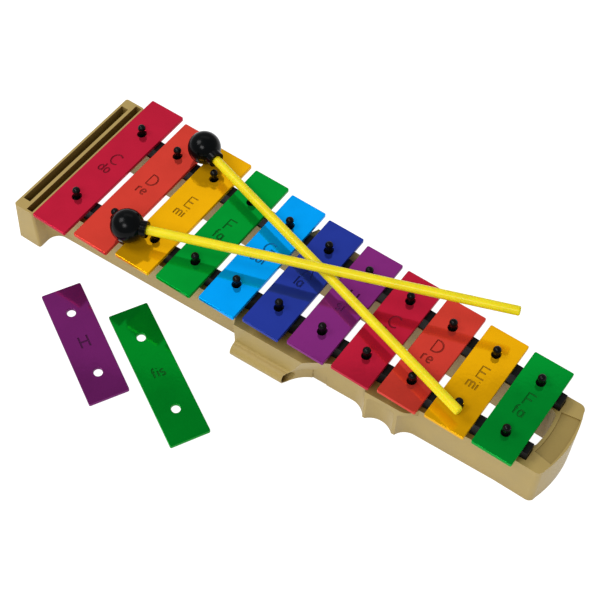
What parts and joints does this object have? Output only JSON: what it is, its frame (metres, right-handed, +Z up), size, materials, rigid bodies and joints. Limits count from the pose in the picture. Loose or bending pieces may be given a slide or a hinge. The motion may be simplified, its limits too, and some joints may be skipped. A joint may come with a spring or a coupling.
{
  "type": "glockenspiel",
  "caption": "Toy glockenspiel: coloured metal tone bars on rubber strips and ball-headed pins in a tapering moulded frame, with spare bars and mallets.",
  "frame": {"origin": "middle of the underside of the wide end's foot, on the frame's plane of symmetry", "axes": "+X along the instrument from the wide end to the narrow end, +Y to the side away from the player, +Z up"},
  "size_m": [0.3587, 0.1796, 0.0658],
  "materials": {
    "frame_plastic": "fine-grained moulded beige plastic, satin",
    "rubber_black": "matt black rubber",
    "pin_black": "smooth black rubber",
    "head_black": "polished black",
    "stick_yellow": "smooth yellow, semi-gloss",
    "bar_crimson": "glossy coloured lacquer on metal",
    "bar_red_orange": "glossy coloured lacquer on metal",
    "bar_yellow": "glossy coloured lacquer on metal",
    "bar_green": "glossy coloured lacquer on metal",
    "bar_light_blue": "glossy coloured lacquer on metal",
    "bar_dark_blue": "glossy coloured lacquer on metal",
    "bar_purple": "glossy coloured lacquer on metal"
  },
  "bodies": {
    "instrument": {"frame_body": "frame_plastic", "strip_near": "rubber_black", "strip_far": "rubber_black", "pins_near": "pin_black", "pins_far": "pin_black"},
    "bar_01_c_body": {"bar_01_c": "bar_crimson"},
    "bar_02_d_body": {"bar_02_d": "bar_red_orange"},
    "bar_03_e_body": {"bar_03_e": "bar_yellow"},
    "bar_04_f_body": {"bar_04_f": "bar_green"},
    "bar_05_g_body": {"bar_05_g": "bar_light_blue"},
    "bar_06_a_body": {"bar_06_a": "bar_dark_blue"},
    "bar_07_h_body": {"bar_07_h": "bar_purple"},
    "bar_08_c_body": {"bar_08_c": "bar_crimson"},
    "bar_09_d_body": {"bar_09_d": "bar_red_orange"},
    "bar_10_e_body": {"bar_10_e": "bar_yellow"},
    "bar_11_f_body": {"bar_11_f": "bar_green"},
    "spare_bar_h_body": {"spare_bar_h": "bar_purple"},
    "spare_bar_fis_body": {"spare_bar_fis": "bar_green"},
    "mallet_one": {"mallet_one_head": "head_black", "mallet_one_stick": "stick_yellow"},
    "mallet_two": {"mallet_two_head": "head_black", "mallet_two_stick": "stick_yellow"}
  },
  "joints": [
    {"name": "bar_01_c_lift", "type": "slide", "parent": "instrument", "child": "bar_01_c_body", "axis": [0, 0, 1], "range_m": [0, 0.04]},
    {"name": "bar_02_d_lift", "type": "slide", "parent": "instrument", "child": "bar_02_d_body", "axis": [0, 0, 1], "range_m": [0, 0.001]},
    {"name": "bar_03_e_lift", "type": "slide", "parent": "instrument", "child": "bar_03_e_body", "axis": [0, 0, 1], "range_m": [0, 0.001]},
    {"name": "bar_04_f_lift", "type": "slide", "parent": "instrument", "child": "bar_04_f_body", "axis": [0, 0, 1], "range_m": [0, 0.001]},
    {"name": "bar_05_g_lift", "type": "slide", "parent": "instrument", "child": "bar_05_g_body", "axis": [0, 0, 1], "range_m": [0, 0.001]},
    {"name": "bar_06_a_lift", "type": "slide", "parent": "instrument", "child": "bar_06_a_body", "axis": [0, 0, 1], "range_m": [0, 0.001]},
    {"name": "bar_07_h_lift", "type": "slide", "parent": "instrument", "child": "bar_07_h_body", "axis": [0, 0, 1], "range_m": [0, 0.001]},
    {"name": "bar_08_c_lift", "type": "slide", "parent": "instrument", "child": "bar_08_c_body", "axis": [0, 0, 1], "range_m": [0, 0.001]},
    {"name": "bar_09_d_lift", "type": "slide", "parent": "instrument", "child": "bar_09_d_body", "axis": [0, 0, 1], "range_m": [0, 0.001]},
    {"name": "bar_10_e_lift", "type": "slide", "parent": "instrument", "child": "bar_10_e_body", "axis": [0, 0, 1], "range_m": [0, 0.001]},
    {"name": "bar_11_f_lift", "type": "slide", "parent": "instrument", "child": "bar_11_f_body", "axis": [0, 0, 1], "range_m": [0, 0.04]},
    {"name": "spare_bar_h_lift", "type": "slide", "parent": "instrument", "child": "spare_bar_h_body", "axis": [0, 0, 1], "range_m": [0, 0.1]},
    {"name": "spare_bar_fis_lift", "type": "slide", "parent": "instrument", "child": "spare_bar_fis_body", "axis": [0, 0, 1], "range_m": [0, 0.1]},
    {"name": "mallet_one_lift", "type": "slide", "parent": "instrument", "child": "mallet_one", "axis": [0, 0, 1], "range_m": [0, 0.1]},
    {"name": "mallet_two_lift", "type": "slide", "parent": "mallet_one", "child": "mallet_two", "axis": [0, 0, 1], "range_m": [0, 0.1]}
  ]
}
